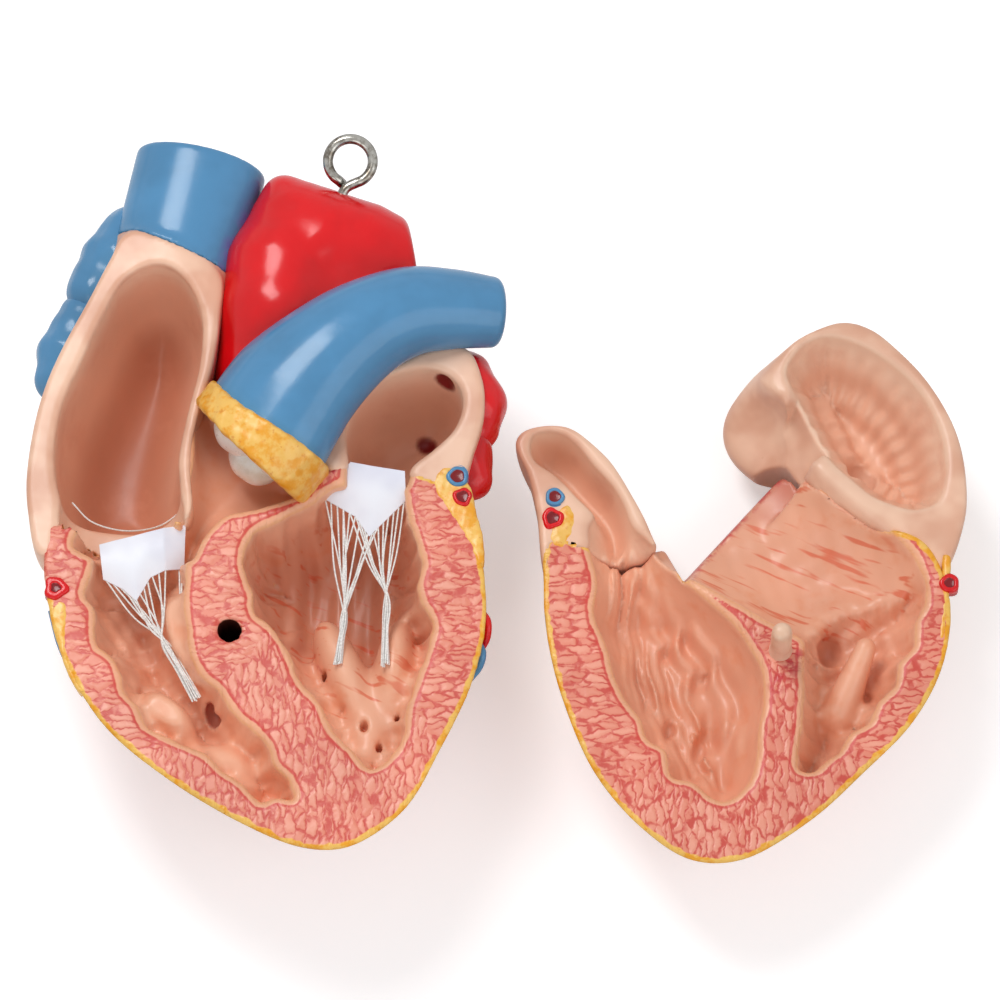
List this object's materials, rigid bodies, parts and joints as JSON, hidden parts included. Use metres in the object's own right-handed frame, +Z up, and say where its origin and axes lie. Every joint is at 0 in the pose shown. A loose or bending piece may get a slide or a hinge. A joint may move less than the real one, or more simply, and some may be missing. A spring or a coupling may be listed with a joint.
{
  "type": "two-part anatomical heart model",
  "caption": "Heart model cut open to show the chambers, with valves, great vessels and a screw eye; the front half is taken off and laid beside the rear half.",
  "frame": {"origin": "on the table plane, in the flat under the rear half, below the septum", "axes": "+X from the rear half to the front half laid beside it, +Y towards the great vessels, +Z up out of the cut faces"},
  "size_m": [0.1703, 0.1365, 0.0529],
  "materials": {
    "muscle": "painted satin",
    "atrium_wall": "painted satin",
    "red_vessel": "glossy paint",
    "blue_vessel": "glossy paint",
    "fat": "painted satin",
    "valve": "painted satin",
    "thread": "white thread",
    "peg": "moulded",
    "steel": "bright plated"
  },
  "bodies": {
    "rear_half": {"rear_ventricles": "muscle", "aorta": "red_vessel", "pulmonary_trunk": "blue_vessel", "pulmonary_fat_ring": "fat", "left_pulmonary_cusp": "valve", "right_pulmonary_cusp": "valve", "rear_pulmonary_cusp": "valve", "right_atrium": "atrium_wall", "left_atrium": "atrium_wall", "superior_vena_cava": "blue_vessel", "upper_right_pulmonary_artery": "blue_vessel", "lower_right_pulmonary_artery": "blue_vessel", "upper_left_pulmonary_vein": "red_vessel", "lower_left_pulmonary_vein": "red_vessel", "right_coronary_artery": "red_vessel", "coronary_sinus": "blue_vessel", "circumflex_artery": "red_vessel", "left_groove_fat": "fat", "right_groove_fat": "fat", "mitral_leaflet": "valve", "tricuspid_leaflet": "valve", "mitral_chordae_left": "thread", "mitral_chordae_right": "thread", "tricuspid_chordae": "thread", "screw_eye": "steel"},
    "front_half": {"front_ventricles": "muscle", "right_auricle": "atrium_wall", "left_auricle": "atrium_wall", "locating_peg": "peg", "anterior_descending_artery": "red_vessel", "great_cardiac_vein": "blue_vessel", "front_right_coronary_artery": "red_vessel", "front_left_groove_fat": "fat", "front_right_groove_fat": "fat"}
  },
  "joints": [
    {"name": "front_half_turn", "type": "hinge", "parent": "rear_half", "child": "front_half", "pos_m": [0.0446, 0, 0.03415], "axis": [0, -1, 0], "range_deg": [0, 180]}
  ]
}
